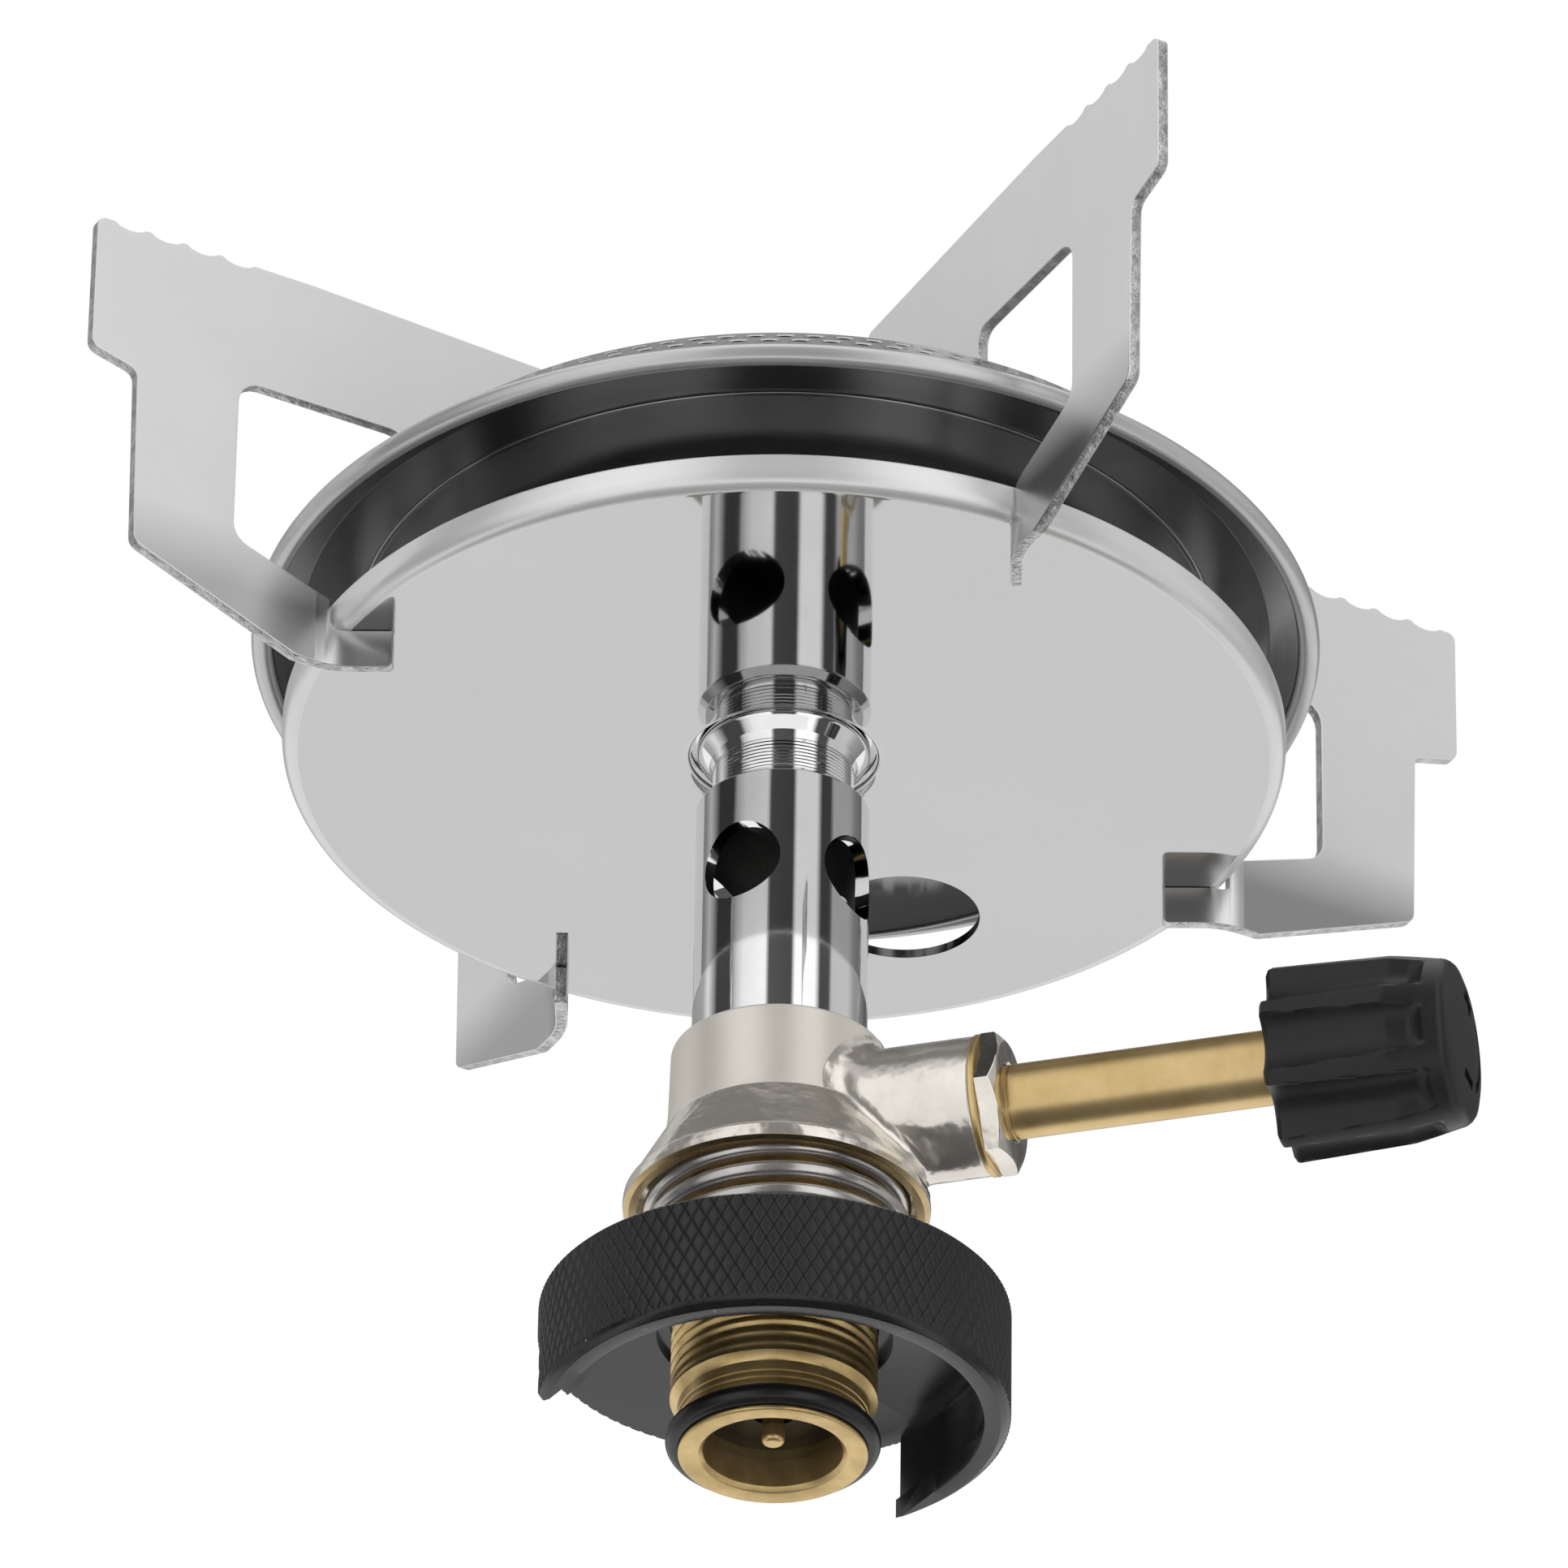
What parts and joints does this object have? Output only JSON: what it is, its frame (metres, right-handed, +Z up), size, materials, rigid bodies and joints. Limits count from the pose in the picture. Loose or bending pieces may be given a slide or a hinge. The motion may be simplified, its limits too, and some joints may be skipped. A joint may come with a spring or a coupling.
{
  "type": "cartridge-top gas stove head",
  "caption": "Single-burner stove head for a gas cartridge: knurled locking ring, sprung nipple, valve and knob, mixing tube, heat plate, burner and pot supports.",
  "frame": {"origin": "centre of the nipple's mouth, the lowest point of the stove, where it meets the cartridge", "axes": "+Z up the stove's axis towards the pot; +X and +Y out along pot supports 1 and 2; the valve's knob lies between +X and -Y"},
  "size_m": [0.1256, 0.1256, 0.0968],
  "materials": {
    "worn_brass": "machined, dulled",
    "polished_brass": "turned, bright",
    "sintered_bronze": "sintered grains",
    "black_rubber": "satin",
    "black_anodised": "black anodised, knurled",
    "spring_steel": "drawn wire, satin",
    "nickel_plated_brass": "nickel plated, satin",
    "nickel_plate": "nickel plated, bright",
    "black_plastic": "moulded, fine grain",
    "chrome_tube": "mirror",
    "mirror_steel": "polished, nearly mirror",
    "burner_steel": "satin",
    "stamped_steel": "cold rolled, satin"
  },
  "bodies": {
    "base": {"nipple": "worn_brass", "nipple_o_ring": "black_rubber", "inlet_seal": "black_rubber", "depressor_pin": "polished_brass", "inlet_filter": "sintered_bronze", "ring_spring": "spring_steel", "valve_body": "nickel_plated_brass", "gland_washer": "polished_brass", "packing_nut": "nickel_plate", "gas_jet": "worn_brass", "mixing_tube": "chrome_tube", "heat_plate": "mirror_steel", "burner_cup": "burner_steel", "diffuser_ring": "burner_steel", "burner_nut": "worn_brass", "burner_cap": "burner_steel", "pot_support_1": "stamped_steel", "pot_support_2": "stamped_steel", "pot_support_3": "stamped_steel", "pot_support_4": "stamped_steel"},
    "ring_carrier": {"slip_washer": "spring_steel"},
    "ring": {"locking_ring": "black_anodised"},
    "seal_carrier": {"spindle_seal": "black_rubber"},
    "valve": {"valve_spindle": "polished_brass", "control_knob": "black_plastic"}
  },
  "joints": [
    {"name": "ring_travel", "type": "slide", "parent": "base", "child": "ring_carrier", "axis": [0, 0, 1], "range_m": [-0.0025, 0.0015], "deforming": ["ring_spring"]},
    {"name": "ring_turn", "type": "hinge", "parent": "ring_carrier", "child": "ring", "pos_m": [0, 0, 0.008], "axis": [0, 0, 1], "range_deg": [-900, 540]},
    {"name": "spindle_travel", "type": "slide", "parent": "base", "child": "seal_carrier", "axis": [0.7071, -0.7071, 0], "range_m": [0, 0.00075]},
    {"name": "knob_turn", "type": "hinge", "parent": "seal_carrier", "child": "valve", "pos_m": [0, 0, 0.0294], "axis": [0.7071, -0.7071, 0], "range_deg": [0, 540]}
  ],
  "couplings": [
    {"joint": "ring_turn", "follows": "ring_travel", "rad_per_m": 6283.2},
    {"joint": "knob_turn", "follows": "spindle_travel", "rad_per_m": 12566}
  ]
}
